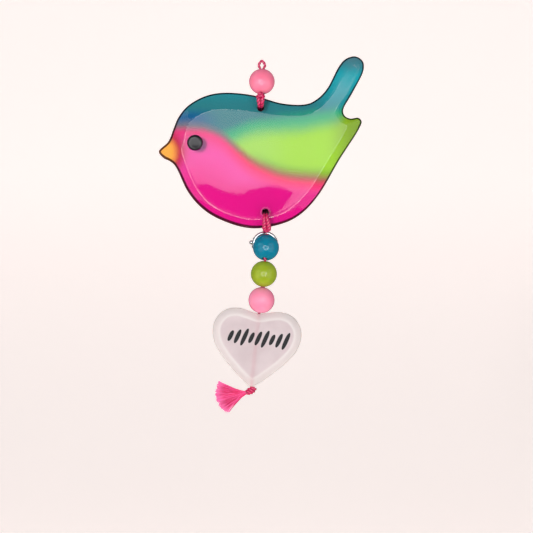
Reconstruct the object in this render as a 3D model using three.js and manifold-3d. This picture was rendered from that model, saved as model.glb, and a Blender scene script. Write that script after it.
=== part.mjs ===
// A glass bird suncatcher: a flat glass bird hung from a cord and a bead, with a string of beads,
// a frosted heart and a tassel below it. Millimetres, +Z up, the front towards -Y.
// The origin is the top of the small hanging loop.
import * as THREE from 'three';
import { mergeVertices } from 'three/addons/utils/BufferGeometryUtils.js';
import Module from 'manifold-3d';

// Clearance between neighbouring pieces
const GAP = 0.3;

// Cord: one strand, and the doubled cord that carries the beads
const STRAND_RADIUS = 0.55;
const DOUBLED_RADIUS = 0.8;
// Half the pitch of two strands that lie side by side
const STRAND_SIDE = STRAND_RADIUS + 0.02;
const CORD_SIDES = 8;
const CORD_STEPS = { hitch: 60, loop: 18, link: 64, straight: 4, claspLoop: 30 };

// Beads
const BEAD_RADIUS = 5.0;
const STRING_BEAD_RADIUS = 5.1;
const TOP_BORE_RADIUS = 1.45;
const STRING_BORE_RADIUS = 1.15;
const BEAD_SIDES = 20;
const BEAD_STEPS = 10;
const TOP_BEAD_Z = -8.6;

// Bevelled rim of the glass, from the flat face out to the edge:
// the share of the way in from the edge, and the share of the rim's drop
const RIM_PROFILE = [
  [1, 0],
  [0.68, 0.14],
  [0.2, 0.62],
  [0.05, 0.8],
  [0, 1],
];

// Bird: its own frame has its origin at the upper hole, with u to the right and v up
const BIRD_X = -0.5;
const BIRD_Z = TOP_BEAD_Z - 10.5;
const BIRD_HALF_THICKNESS = 3.0;
const BIRD_RIM_DROP = 2.8;
const BIRD_BACK_ARRIS = 0.5;
const BIRD_BACK_INSET = 0.1;
const HOLE_RADIUS = 1.4;
const HOLE_SIDES = 16;
const UPPER_EDGE_V = 4.3;
const LOWER_HOLE = { u: 1.9, v: -40.5 };
const EYE = { u: -25.5, v: -13.5, radius: 3.1, foot: 0.3, rise: 1.5, steps: 5, sides: 16 };

// Each row: the glass edge (u, v), and where the flat front face begins beside it (u, v)
const BIRD_OUTLINE = [
  // Beak and forehead
  [-39.5, -16.8, -30.2, -16.6],
  [-35.3, -12.8, -29.4, -12.6],
  [-33.7, -8.1, -28.4, -7.9],
  [-32.2, -3.7, -26.6, -4.9],
  // Crown and back
  [-28.5, 0.9, -23.6, -2.9],
  [-22.2, 4.6, -19.4, -1.3],
  [-15.4, 6.0, -14.8, -0.7],
  [-3.6, 5.0, -4.4, -1.5],
  [8.9, 1.6, 8.0, -3.1],
  [18.2, 1.5, 19.2, -2.6],
  [22.5, 3.7, 24.4, 0.6],
  // Tail
  [26.2, 7.4, 28.6, 5.2],
  [30.6, 16.5, 34.2, 14.8],
  [33.1, 19.3, 35.4, 16.4],
  [36.8, 20.4, 36.7, 16.9],
  [39.8, 18.6, 37.5, 16.2],
  [40.2, 15.2, 37.2, 14.4],
  [36.2, 6.8, 33.0, 5.4],
  // Notch and wing tip
  [32.2, -0.7, 28.9, -1.6],
  [32.8, -2.8, 28.9, -4.2],
  [35.0, -3.9, 30.4, -5.8],
  [38.1, -3.6, 32.4, -6.5],
  [39.3, -5.0, 33.0, -7.2],
  [38.7, -7.5, 32.2, -8.8],
  // Wing edge, belly and throat
  [30.0, -19.6, 26.2, -19.4],
  [21.3, -33.3, 18.0, -32.0],
  [15.1, -39.8, 12.8, -37.4],
  [8.9, -43.6, 7.4, -40.8],
  [-3.6, -46.2, -3.4, -43.2],
  [-16.0, -42.3, -14.2, -39.9],
  [-27.2, -31.7, -23.6, -31.0],
  [-32.8, -22.1, -28.4, -21.6],
  [-35.0, -19.9, -29.4, -19.4],
  [-37.8, -19.0, -29.9, -18.0],
];
const BIRD_STEPS_PER_ROW = 4;

// String of beads and heart, leaning a little to the left; distances run down its axis
const STRING_X = 1.6;
const STRING_Z = TOP_BEAD_Z - 64.7;
const STRING_LEAN = THREE.MathUtils.degToRad(6);
const GREEN_DROP = 10.5;
const PINK_DROP = 20.75;
const NOTCH_DROP = 26.1;

// Heart: half its outline as rows like the bird's, from the notch to the tip
const HEART_HALF_THICKNESS = 2.75;
const HEART_RIM_DROP = 2.1;
const HEART_BORE_RADIUS = 1.15;
const HEART_BORE_SIDES = 12;
const HEART_STEPS_PER_ROW = 3;
const HEART_HALF_OUTLINE = [
  [0, 0, 0, -3.4],
  [4.6, 1.0, 4.2, -2.2],
  [8.8, 1.55, 8.4, -1.5],
  [13.4, 0.2, 11.9, -2.4],
  [16.6, -3.6, 13.9, -5.0],
  [17.45, -7.8, 14.4, -8.0],
  [16.2, -12.8, 13.2, -11.9],
  [12.6, -17.9, 9.9, -16.4],
  [7.3, -23.2, 5.0, -21.2],
  [2.6, -27.4, 1.5, -24.4],
  [0, -28.9, 0, -25.3],
];
const HEART_LENGTH = 28.9;

// Clasp ring, tilted back behind the teal bead
const RING_RADIUS = 3.85;
const RING_WIRE_RADIUS = 0.55;
const RING_OFFSET = new THREE.Vector3(-0.8, 6.63, 1.75);
const RING_SIDES = 28;
const WIRE_SIDES = 8;
// Slack of a cord that turns round the clasp wire
const WRAP_SLACK = 0.35;
const KNOB = { radius: 0.8, reach: 4.9, sides: 12, steps: 8 };

// Knot and tassel
const KNOT = { x: -4.6, z: STRING_Z - 56.75, length: 4.2, radius: 1.35, turns: 3, swell: 0.25 };
const KNOT_END_SHARE = 0.45;
const KNOT_STEPS_PER_TURN = 4;
const KNOT_SIDES = 12;
const KNOT_TILT = THREE.MathUtils.degToRad(55);
const TASSEL_NECK = { x: -6.9, z: STRING_Z - 57.7, radius: 1.0 };
const TASSEL_LENGTH = 11.2;
const TASSEL_SPREAD_FROM = THREE.MathUtils.degToRad(158);
const TASSEL_SPREAD_TO = THREE.MathUtils.degToRad(226);
const TASSEL_HALF_DEPTH = 2.1;
const TASSEL_LOCKS = 9;
const TASSEL_LOCK_DEPTH = 0.12;
const TASSEL_STEPS_PER_LOCK = 4;
// How far the outer threads fall short of the middle ones
const TASSEL_SHORTENING = 0.12;
const TASSEL_SECTIONS = 7;

const wasm = await Module();
wasm.setup();

function toSolid(geometry) {
  const bare = geometry.clone();
  bare.deleteAttribute('normal');
  bare.deleteAttribute('uv');
  const merged = mergeVertices(bare, 1e-4);
  const vertProperties = Float32Array.from(merged.attributes.position.array);
  const triVerts = Uint32Array.from(merged.index.array);
  return new wasm.Manifold(new wasm.Mesh({ numProp: 3, vertProperties, triVerts }));
}

function toGeometry(solid) {
  const mesh = solid.getMesh();
  const geometry = new THREE.BufferGeometry();
  const positions = Float32Array.from(mesh.vertProperties);
  geometry.setAttribute('position', new THREE.BufferAttribute(positions, 3));
  geometry.setIndex(new THREE.BufferAttribute(Uint32Array.from(mesh.triVerts), 1));
  geometry.computeVertexNormals();
  return geometry;
}

function material(color, roughness, metalness) {
  return new THREE.MeshStandardMaterial({ color, roughness, metalness });
}

// A round cord along a smooth route
function tube(route, radius, steps) {
  const points = route.map(([x, y, z]) => new THREE.Vector3(x, y, z));
  const path = new THREE.CatmullRomCurve3(points, false, 'centripetal');
  const section = new THREE.Shape();
  for (let side = 0; side < CORD_SIDES; side++) {
    const angle = (side / CORD_SIDES) * 2 * Math.PI;
    const x = radius * Math.cos(angle);
    const y = radius * Math.sin(angle);
    if (side === 0) section.moveTo(x, y);
    else section.lineTo(x, y);
  }
  section.closePath();
  return new THREE.ExtrudeGeometry(section, { steps, bevelEnabled: false, extrudePath: path });
}

// A plain round bar along an axis, used to bore holes
function bar(radius, length, sides) {
  return new THREE.CylinderGeometry(radius, radius, length, sides);
}

// Closed smooth loops through the outline's rows: the edge and the start of the flat face
function outlineLoops(rows, stepsPerRow) {
  const count = rows.length * stepsPerRow;
  const edgePoints = rows.map(([u, v]) => new THREE.Vector3(u, v, 0));
  const flatPoints = rows.map((row) => new THREE.Vector3(row[2], row[3], 0));
  const edge = new THREE.CatmullRomCurve3(edgePoints, true, 'centripetal');
  const flat = new THREE.CatmullRomCurve3(flatPoints, true, 'centripetal');
  const loops = { edge: [], flat: [] };
  for (let i = 0; i < count; i++) {
    loops.edge.push(edge.getPoint(i / count));
    loops.flat.push(flat.getPoint(i / count));
  }
  return loops;
}

// A glass slab in the XZ plane: each ring is [inset from 0 at the edge to 1 at the flat face, depth y]
function slab(rows, stepsPerRow, rings) {
  const loops = outlineLoops(rows, stepsPerRow);
  const count = loops.edge.length;
  const positions = [];
  for (const [inset, depth] of rings) {
    for (let i = 0; i < count; i++) {
      const point = loops.edge[i].clone().lerp(loops.flat[i], inset);
      positions.push(point.x, depth, point.y);
    }
  }
  const index = [];
  for (let ring = 0; ring + 1 < rings.length; ring++) {
    for (let i = 0; i < count; i++) {
      const here = ring * count + i;
      const next = ring * count + ((i + 1) % count);
      index.push(here, next, here + count);
      index.push(next, next + count, here + count);
    }
  }
  const last = (rings.length - 1) * count;
  const capAt = (start) => {
    const cap = [];
    for (let i = 0; i < count; i++) {
      const at = 3 * (start + i);
      cap.push(new THREE.Vector2(positions[at], positions[at + 2]));
    }
    return THREE.ShapeUtils.triangulateShape(cap, []);
  };
  for (const [a, b, c] of capAt(0)) index.push(a, b, c);
  for (const [a, b, c] of capAt(last)) index.push(last + a, last + c, last + b);
  const geometry = new THREE.BufferGeometry();
  geometry.setAttribute('position', new THREE.Float32BufferAttribute(positions, 3));
  geometry.setIndex(index);
  return geometry;
}

// Rings of a bevelled rim, from the flat face out to the edge
function rimRings(halfThickness, drop) {
  return RIM_PROFILE.map(([inset, fall]) => [inset, halfThickness - drop * fall]);
}

// The volume of a closed mesh, negative where its faces point inward
function signedVolume(geometry) {
  const at = geometry.attributes.position;
  const index = geometry.index;
  const corner = [new THREE.Vector3(), new THREE.Vector3(), new THREE.Vector3()];
  let sum = 0;
  for (let i = 0; i < index.count; i += 3) {
    corner.forEach((point, k) => point.fromBufferAttribute(at, index.getX(i + k)));
    sum += corner[0].dot(corner[1].clone().cross(corner[2])) / 6;
  }
  return sum;
}

function facingOut(geometry) {
  if (signedVolume(geometry) >= 0) return geometry;
  const turned = geometry.index.array;
  for (let i = 0; i < turned.length; i += 3) {
    [turned[i + 1], turned[i + 2]] = [turned[i + 2], turned[i + 1]];
  }
  return geometry;
}

function birdGeometry() {
  const front = rimRings(BIRD_HALF_THICKNESS, BIRD_RIM_DROP).map(([inset, y]) => [inset, -y]);
  const back = [
    [0, BIRD_HALF_THICKNESS - BIRD_BACK_ARRIS],
    [BIRD_BACK_INSET, BIRD_HALF_THICKNESS],
  ];
  const body = facingOut(slab(BIRD_OUTLINE, BIRD_STEPS_PER_ROW, [...front, ...back]));
  let solid = toSolid(body);
  const holes = [{ u: 0, v: 0 }, LOWER_HOLE];
  for (const { u, v } of holes) {
    const drill = bar(HOLE_RADIUS, 4 * BIRD_HALF_THICKNESS, HOLE_SIDES).translate(u, 0, v);
    solid = solid.subtract(toSolid(drill));
  }
  return toGeometry(solid);
}

function eyeGeometry() {
  const profile = [new THREE.Vector2(0, 0), new THREE.Vector2(EYE.radius, 0)];
  for (let step = 0; step <= EYE.steps; step++) {
    const angle = (step / EYE.steps) * (Math.PI / 2);
    const x = step === EYE.steps ? 0 : EYE.radius * Math.cos(angle);
    profile.push(new THREE.Vector2(x, EYE.foot + EYE.rise * Math.sin(angle)));
  }
  return new THREE.LatheGeometry(profile, EYE.sides).rotateX(Math.PI);
}

function beadGeometry(radius, bore) {
  const start = Math.asin(bore / radius);
  const profile = [];
  for (let step = 0; step <= BEAD_STEPS; step++) {
    const angle = start + (step / BEAD_STEPS) * (Math.PI - 2 * start);
    profile.push(new THREE.Vector2(radius * Math.sin(angle), -radius * Math.cos(angle)));
  }
  profile.push(profile[0].clone());
  return new THREE.LatheGeometry(profile, BEAD_SIDES).rotateX(Math.PI / 2);
}

function heartGeometry() {
  const right = HEART_HALF_OUTLINE;
  const left = right.slice(1, -1).reverse().map(([u, v, flatU, flatV]) => [-u, v, -flatU, flatV]);
  const front = rimRings(HEART_HALF_THICKNESS, HEART_RIM_DROP).map(([inset, y]) => [inset, -y]);
  const back = rimRings(HEART_HALF_THICKNESS, HEART_RIM_DROP).reverse();
  const body = facingOut(slab([...right, ...left], HEART_STEPS_PER_ROW, [...front, ...back]));
  const drill = bar(HEART_BORE_RADIUS, 2 * HEART_LENGTH, HEART_BORE_SIDES).rotateX(Math.PI / 2);
  drill.translate(0, 0, -HEART_LENGTH / 2);
  return toGeometry(toSolid(body).subtract(toSolid(drill)));
}

// The clasp's plane faces away from the teal bead's centre; its local Z is that direction
function ringTurn() {
  const facing = RING_OFFSET.clone().normalize();
  const across = new THREE.Vector3(1, 0, 0).addScaledVector(facing, -facing.x).normalize();
  const up = facing.clone().cross(across);
  return new THREE.Matrix4().makeBasis(across, up, facing);
}

function ringGeometry() {
  const wire = new THREE.TorusGeometry(RING_RADIUS, RING_WIRE_RADIUS, WIRE_SIDES, RING_SIDES);
  const knob = new THREE.SphereGeometry(KNOB.radius, KNOB.sides, KNOB.steps).translate(-KNOB.reach, 0, 0);
  return toGeometry(toSolid(wire).add(toSolid(knob))).applyMatrix4(ringTurn());
}

// The doubled cord hitched through the upper hole: up the back, over the edge and through the bead,
// and ending in a small loop
function hangingCordGeometry() {
  const side = STRAND_SIDE;
  const front = -(BIRD_HALF_THICKNESS + STRAND_RADIUS + GAP);
  const back = -front;
  const hole = BIRD_Z;
  const beadFoot = TOP_BEAD_Z - BEAD_RADIUS;
  const beadHead = TOP_BEAD_Z + BEAD_RADIUS;
  const overEdge = BIRD_Z + UPPER_EDGE_V + STRAND_RADIUS + GAP;
  const strand = (s) => [
    [s * side, 0, beadHead - 1.0],
    [s * side, 0, TOP_BEAD_Z],
    [s * side, 0, beadFoot + 0.6],
    [BIRD_X * 0.5 + s * side, 1.2, overEdge + 0.1],
    [BIRD_X + s * side, 2.7, overEdge],
    [BIRD_X + s * side, back, overEdge - 1.3],
    [BIRD_X + s * side, back, overEdge - 3.0],
    [BIRD_X + s * side, back, hole + 0.9],
    [BIRD_X + s * side, 2.4, hole],
    [BIRD_X + s * side, -2.4, hole],
    [BIRD_X + s * side * 1.1, front - 0.1, hole + 0.9],
    [BIRD_X + s * side * 1.3, front - 0.1, hole + 2.8],
    [BIRD_X + s * side * 1.45, front + 0.2, hole + 4.4],
  ];
  const crown = [BIRD_X, front + 0.4, hole + 5.6];
  const hitch = [...strand(-1), crown, ...strand(1).reverse()];
  const loop = [
    [-side, 0, beadHead - 2.5],
    [-side, 0, beadHead - 0.2],
    [-side * 2.1, 0, beadHead + 1.4],
    [0, 0, -STRAND_RADIUS],
    [side * 2.1, 0, beadHead + 1.4],
    [side, 0, beadHead - 0.2],
    [side, 0, beadHead - 2.5],
  ];
  const hitchSolid = toSolid(tube(hitch, STRAND_RADIUS, CORD_STEPS.hitch));
  return toGeometry(hitchSolid.add(toSolid(tube(loop, STRAND_RADIUS * 0.99, CORD_STEPS.loop))));
}

// The doubled cord through the lower hole: a bight down the front, its ends down the back to the clasp
function linkCordGeometry() {
  const side = STRAND_SIDE;
  const front = -(BIRD_HALF_THICKNESS + STRAND_RADIUS + GAP);
  const back = -front;
  const x = BIRD_X + LOWER_HOLE.u;
  const hole = BIRD_Z + LOWER_HOLE.v;
  const ring = new THREE.Vector3(STRING_X, 0, STRING_Z).add(RING_OFFSET);
  const wireY = ring.y - 1.0;
  const wireZ = ring.z + RING_RADIUS - 0.2;
  const wrap = RING_WIRE_RADIUS + STRAND_RADIUS + GAP + WRAP_SLACK;
  const shift = 0.4;
  const strand = (s) => [
    [x + shift + s * side, wireY + wrap * 0.7, wireZ + wrap * 0.55],
    [x + shift + s * side, wireY + wrap, wireZ - 0.3],
    [x + shift + s * side, wireY, wireZ - wrap],
    [x + shift + s * side, wireY - wrap, wireZ],
    [x + shift + s * side, wireY - wrap, wireZ + 1.4],
    [x + 0.5 * shift + s * side, back - 0.3, hole - 5.6],
    [x + s * side, back, hole - 3.0],
    [x + s * side, back, hole - 0.9],
    [x + s * side, 2.4, hole],
    [x + s * side, -2.4, hole],
    [x + s * side * 1.1, front - 0.1, hole - 0.9],
    [x + s * side * 1.5, front - 0.1, hole - 2.8],
    [x + s * side * 1.7, front + 0.5, hole - 4.6],
    [x + s * side * 1.6, front + 1.6, hole - 6.0],
  ];
  const foot = [x, front + 2.9, hole - 6.9];
  const route = [...strand(-1), foot, ...strand(1).reverse()];
  return tube(route, STRAND_RADIUS, CORD_STEPS.link);
}

// The doubled cord through the beads and heart, in the string's own frame, with a loop on the clasp
function beadCordGeometry() {
  const top = STRING_BEAD_RADIUS;
  const end = -(NOTCH_DROP + HEART_LENGTH) + GAP;
  const straight = tube([[0, 0, top], [0, 0, end / 2], [0, 0, end]], DOUBLED_RADIUS, CORD_STEPS.straight);
  const wire = RING_OFFSET.clone().add(new THREE.Vector3(-1.9, -0.9, RING_RADIUS - 0.8));
  const wrap = RING_WIRE_RADIUS + STRAND_RADIUS + GAP + WRAP_SLACK;
  const loop = [
    [0, 0, top - 0.6],
    [-0.1, 0.3, top + 0.2],
    [-0.9, 1.8, top + 1.05],
    [wire.x + 0.5, wire.y - 1.7, wire.z + wrap * 0.85],
    [wire.x, wire.y, wire.z + wrap],
    [wire.x - 0.2, wire.y + wrap, wire.z],
    [wire.x - 0.2, wire.y, wire.z - wrap],
    [wire.x + 0.1, wire.y - wrap * 1.05, wire.z - 0.75],
  ];
  return toGeometry(toSolid(straight).add(toSolid(tube(loop, STRAND_RADIUS, CORD_STEPS.claspLoop))));
}

// A knot of a few tight turns round its own axis
function knotGeometry() {
  const profile = [new THREE.Vector2(0, -KNOT.length / 2)];
  const steps = KNOT.turns * KNOT_STEPS_PER_TURN;
  for (let step = 0; step <= steps; step++) {
    const along = step / steps;
    const taper = Math.sqrt(Math.max(0, 1 - (2 * along - 1) ** 2));
    const lump = KNOT.swell * Math.cos(along * KNOT.turns * 2 * Math.PI);
    const radius = (KNOT.radius - lump) * (KNOT_END_SHARE + (1 - KNOT_END_SHARE) * taper);
    profile.push(new THREE.Vector2(radius, (along - 0.5) * KNOT.length));
  }
  profile.push(new THREE.Vector2(0, KNOT.length / 2));
  return new THREE.LatheGeometry(profile, KNOT_SIDES).rotateX(Math.PI / 2).rotateY(KNOT_TILT);
}

// A fan of cut threads, spreading from the neck, with shallow locks
function tasselGeometry() {
  const sections = TASSEL_SECTIONS;
  const around = TASSEL_LOCKS * TASSEL_STEPS_PER_LOCK;
  const middle = (TASSEL_SPREAD_FROM + TASSEL_SPREAD_TO) / 2;
  const spread = (TASSEL_SPREAD_TO - TASSEL_SPREAD_FROM) / 2;
  const positions = [];
  for (let section = 0; section < sections; section++) {
    const along = section / (sections - 1);
    const reach = along * TASSEL_LENGTH;
    const halfWidth = TASSEL_NECK.radius + Math.sin(spread) * reach;
    const halfDepth = TASSEL_NECK.radius + (TASSEL_HALF_DEPTH - TASSEL_NECK.radius) * Math.sqrt(along);
    for (let k = 0; k < around; k++) {
      const turn = (k / around) * 2 * Math.PI;
      const lock = 1 - TASSEL_LOCK_DEPTH * along * (0.5 + 0.5 * Math.cos(turn * TASSEL_LOCKS));
      const across = halfWidth * Math.cos(turn) * lock;
      const forward = reach * (1 - TASSEL_SHORTENING * (Math.cos(turn) ** 2) * along);
      const x = TASSEL_NECK.x + forward * Math.cos(middle) - across * Math.sin(middle);
      const z = TASSEL_NECK.z + forward * Math.sin(middle) + across * Math.cos(middle);
      positions.push(x, halfDepth * Math.sin(turn) * lock, z);
    }
  }
  const index = [];
  for (let section = 0; section + 1 < sections; section++) {
    for (let k = 0; k < around; k++) {
      const here = section * around + k;
      const next = section * around + ((k + 1) % around);
      index.push(here, next, here + around);
      index.push(next, next + around, here + around);
    }
  }
  const last = (sections - 1) * around;
  const addCap = (start, forward) => {
    const centre = positions.length / 3;
    const mean = [0, 0, 0];
    for (let k = 0; k < around; k++) {
      for (let axis = 0; axis < 3; axis++) mean[axis] += positions[3 * (start + k) + axis] / around;
    }
    positions.push(...mean);
    for (let k = 0; k < around; k++) {
      const here = start + k;
      const next = start + ((k + 1) % around);
      if (forward) index.push(here, next, centre);
      else index.push(next, here, centre);
    }
  };
  addCap(0, false);
  addCap(last, true);
  const geometry = new THREE.BufferGeometry();
  geometry.setAttribute('position', new THREE.Float32BufferAttribute(positions, 3));
  geometry.setIndex(index);
  return facingOut(geometry);
}

function named(name, geometry, look) {
  const mesh = new THREE.Mesh(geometry, look);
  mesh.name = name;
  return mesh;
}

const looks = {
  birdGlass: material(0xd8488f, 0.08, 0),
  eyeGlass: material(0x18161a, 0.15, 0),
  pinkGlass: material(0xfa93b2, 0.1, 0),
  tealGlass: material(0x0a8aa8, 0.1, 0),
  greenGlass: material(0x8fb03a, 0.1, 0),
  frostedGlass: material(0xe9e4e6, 0.5, 0),
  cord: material(0xe8407f, 0.45, 0),
  thread: material(0xf0447f, 0.85, 0),
  silver: material(0xc9cad0, 0.2, 1),
};

const suncatcher = new THREE.Group();

const topBead = named('top_bead', beadGeometry(BEAD_RADIUS, TOP_BORE_RADIUS), looks.pinkGlass);
topBead.position.z = TOP_BEAD_Z;
suncatcher.add(topBead);
suncatcher.add(named('hanging_cord', hangingCordGeometry(), looks.cord));

const bird = new THREE.Group();
bird.position.set(BIRD_X, 0, BIRD_Z);
bird.add(named('glass_bird', birdGeometry(), looks.birdGlass));
const eye = named('eye_dot', eyeGeometry(), looks.eyeGlass);
eye.position.set(EYE.u, -(BIRD_HALF_THICKNESS + GAP), EYE.v);
bird.add(eye);
suncatcher.add(bird);

suncatcher.add(named('link_cord', linkCordGeometry(), looks.cord));
const ring = named('clasp_ring', ringGeometry(), looks.silver);
ring.position.set(STRING_X, 0, STRING_Z).add(RING_OFFSET);
suncatcher.add(ring);

const string = new THREE.Group();
string.position.set(STRING_X, 0, STRING_Z);
string.rotation.y = STRING_LEAN;
const stringBeads = [
  ['teal_bead', 0, looks.tealGlass],
  ['green_bead', -GREEN_DROP, looks.greenGlass],
  ['pink_bead', -PINK_DROP, looks.pinkGlass],
];
for (const [name, drop, look] of stringBeads) {
  const bead = named(name, beadGeometry(STRING_BEAD_RADIUS, STRING_BORE_RADIUS), look);
  bead.position.z = drop;
  string.add(bead);
}
const heart = named('glass_heart', heartGeometry(), looks.frostedGlass);
heart.position.z = -NOTCH_DROP;
string.add(heart);
string.add(named('bead_cord', beadCordGeometry(), looks.cord));
suncatcher.add(string);

const knot = named('tassel_knot', knotGeometry(), looks.cord);
knot.position.set(KNOT.x, 0, KNOT.z);
suncatcher.add(knot);
suncatcher.add(named('tassel', tasselGeometry(), looks.thread));

export default suncatcher;
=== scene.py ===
# A glass bird suncatcher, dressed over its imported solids.
# Sizes are in millimetres in the part's frame (+Z up, the front towards -Y), and become metres in the meshes.
import math
import random

import bpy
import numpy as np
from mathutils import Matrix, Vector
from mathutils.geometry import delaunay_2d_cdt


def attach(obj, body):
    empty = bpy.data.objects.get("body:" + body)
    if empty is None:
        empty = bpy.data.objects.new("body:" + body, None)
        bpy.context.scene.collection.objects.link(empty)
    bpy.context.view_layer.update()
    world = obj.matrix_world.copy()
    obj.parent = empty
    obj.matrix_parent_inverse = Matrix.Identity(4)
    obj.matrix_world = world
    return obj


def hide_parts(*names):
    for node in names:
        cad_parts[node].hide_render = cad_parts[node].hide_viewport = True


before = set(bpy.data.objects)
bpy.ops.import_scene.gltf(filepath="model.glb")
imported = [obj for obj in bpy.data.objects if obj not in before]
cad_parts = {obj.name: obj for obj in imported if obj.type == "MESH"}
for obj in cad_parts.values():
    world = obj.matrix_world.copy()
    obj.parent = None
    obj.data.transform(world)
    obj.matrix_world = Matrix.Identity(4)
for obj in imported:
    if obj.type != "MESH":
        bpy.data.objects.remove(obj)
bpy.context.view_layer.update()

MM = 0.001
SEED = 11

# Camera: straight on, far off, with one pixel of the 533-pixel frame as a real size at the object
PIXEL = 0.39
FRAME_WIDTH = 533 * PIXEL
CAMERA_AT = (1.8, -900.0, -80.7)
SENSOR = 36.0

# Stage: a pale sweep well behind the object, and the lights
FLOOR_Z = -300.0
WALL_Y = 1200.0
SWEEP_RADIUS = 300.0
SWEEP_STEPS = 16
SWEEP_FRONT_Y = -2500.0
SWEEP_TOP_Z = 2500.0
SWEEP_HALF_WIDTH = 3000.0
SWEEP_GLOW = 0.46
SWEEP_GLOW_TINT = (1.0, 0.93, 0.91, 1.0)
WORLD_STRENGTH = 0.2
WORLD_TINT = (1.0, 0.99, 0.985, 1.0)
LIGHT_TARGET = (0, 0, -70)
# Each soft box: its name, place, size and power, and whether it shows only in reflections
SOFT_BOXES = [
    ("key_light", (-240, -830, 60), (90, 90), 3.8, False),
    ("fill_light", (320, -800, -60), (300, 300), 1.0, False),
    ("top_light", (0, -350, 700), (700, 700), 1.2, False),
    ("left_box", (-700, -600, -80), (900, 1400), 2.6, True),
    ("right_box", (700, -600, -80), (900, 1400), 3.0, True),
]
# The ring light has a brighter outer band. Towards the tail, at an angle in degrees, it is smaller and weaker
RING_LIGHT_Y = -503.0
RING_LIGHT_CENTRE = (1.8, -80.7)
RING_LIGHT_OUTER = 235.0
RING_LIGHT_DIP = 72.0
RING_LIGHT_DIP_AT = 72.0
RING_LIGHT_DIP_WIDTH = 26.0
RING_LIGHT_STRENGTH = 2.6
RING_LIGHT_BAND = 7.5
RING_LIGHT_BAND_LOW = 1.2
RING_LIGHT_BAND_RADII = (150.0, 162.0)
RING_LIGHT_FADE = 0.93
RING_LIGHT_SIDES = 160
# The dark opening of the ring light: a rounded window and a round lens. The window has a slanting right side
# (a point of it, and its run for each millimetre of height), and left of a place its level rises by a share
OPENING_CENTRE = (-24.0, -72.0)
OPENING_HALF = (48.0, 37.5)
OPENING_CORNER = 12.0
LENS_CENTRE = (1.8, -102.0)
LENS_RADIUS = 52.0
OPENING_START = (-20.0, -60.0)
OPENING_SLANT = (17.4, -36.6, 0.9)
OPENING_RISE = (-20.0, 0.15)

# Cord
STRAND_RADIUS = 0.55
LEG_RADIUS = 0.8
STRAND_SIDE = 0.57
DOUBLED_RADIUS = 0.8
GAP = 0.3
CORD_SIDES = 18
CORD_PLIES = 2
CORD_GROOVE = 0.34
GROOVE_POWER = 1.2

# Beads
BEAD_RADIUS = 5.0
STRING_BEAD_RADIUS = 5.1
TOP_BORE_RADIUS = 1.45
STRING_BORE_RADIUS = 0.9
TOP_BEAD_Z = -8.6
BEAD_SIDES = 64
BEAD_STEPS = 40
MOUTH_FLARE = 0.15
MOUTH_ROUND = 0.06
MOUTH_DEPTH = 0.3

# Bird: its own frame has its origin at the upper hole, with u to the right and v up
BIRD_X = -0.5
BIRD_Z = TOP_BEAD_Z - 10.5
BIRD_HALF_THICKNESS = 3.0
HOLE_RADIUS = 1.28
UPPER_HOLE = (0.0, 0.0)
LOWER_HOLE = (1.9, -40.5)
UPPER_EDGE_V = 4.3
EYE_PLACE = (-25.5, -13.5)
EYE_RADIUS = 3.1
EYE_RISE = 1.6
EYE_SHOULDER = 0.36
EYE_STEPS = 12

# Each row: the glass edge (u, v), and where the flat front face begins beside it (u, v)
BIRD_OUTLINE = [
    (-39.7, -16.8, -30.2, -16.6), (-36.0, -12.9, -29.4, -12.6), (-34.0, -8.0, -28.4, -7.9),
    (-32.2, -3.7, -26.6, -4.9), (-28.5, 0.9, -23.6, -2.9), (-22.2, 4.6, -19.4, -1.3),
    (-15.4, 6.1, -14.8, -0.7), (-3.6, 5.3, -4.4, -1.5), (8.9, 1.9, 8.0, -3.1),
    (18.2, 1.8, 19.2, -2.6), (22.3, 3.9, 24.4, 0.6), (25.9, 7.7, 28.6, 5.2),
    (30.6, 16.5, 34.2, 14.8), (33.1, 19.3, 35.4, 16.4), (36.8, 20.4, 36.7, 16.9),
    (39.8, 18.6, 37.5, 16.2), (40.2, 15.2, 37.2, 14.4), (36.2, 6.8, 33.0, 5.4),
    (32.2, -0.7, 28.8, -1.1), (32.8, -2.8, 29.4, -3.3), (35.0, -3.9, 30.9, -5.1),
    (38.1, -3.6, 32.6, -6.3), (39.4, -5.0, 33.2, -7.1), (38.6, -7.5, 32.6, -8.6),
    (30.9, -19.7, 26.2, -19.4), (22.4, -34.0, 18.0, -32.0), (16.0, -40.9, 12.8, -37.4),
    (9.3, -44.6, 7.4, -40.8), (-3.6, -46.7, -3.4, -42.9), (-16.4, -43.0, -14.8, -39.7),
    (-23.3, -38.5, -20.6, -35.9), (-28.4, -32.4, -24.9, -30.5), (-33.4, -22.3, -28.7, -21.6),
    (-35.6, -20.4, -29.5, -19.4), (-38.0, -19.2, -29.9, -18.0),
]

# Cord at the bird's front and back
CORD_FRONT = -(BIRD_HALF_THICKNESS + LEG_RADIUS + 0.05)
CORD_BACK = BIRD_HALF_THICKNESS + STRAND_RADIUS + GAP

# String of beads and heart, leaning a little to the left; distances run down its axis
STRING_AT = (1.6, 0.0, TOP_BEAD_Z - 64.7)
STRING_LEAN = math.radians(6)
GREEN_DROP = 10.3
PINK_DROP = 20.6
GREEN_SHIFT = 0.25
PINK_SHIFT = 0.4
TEAL_TILT = math.radians(28)
NOTCH_DROP = 26.0

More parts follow.
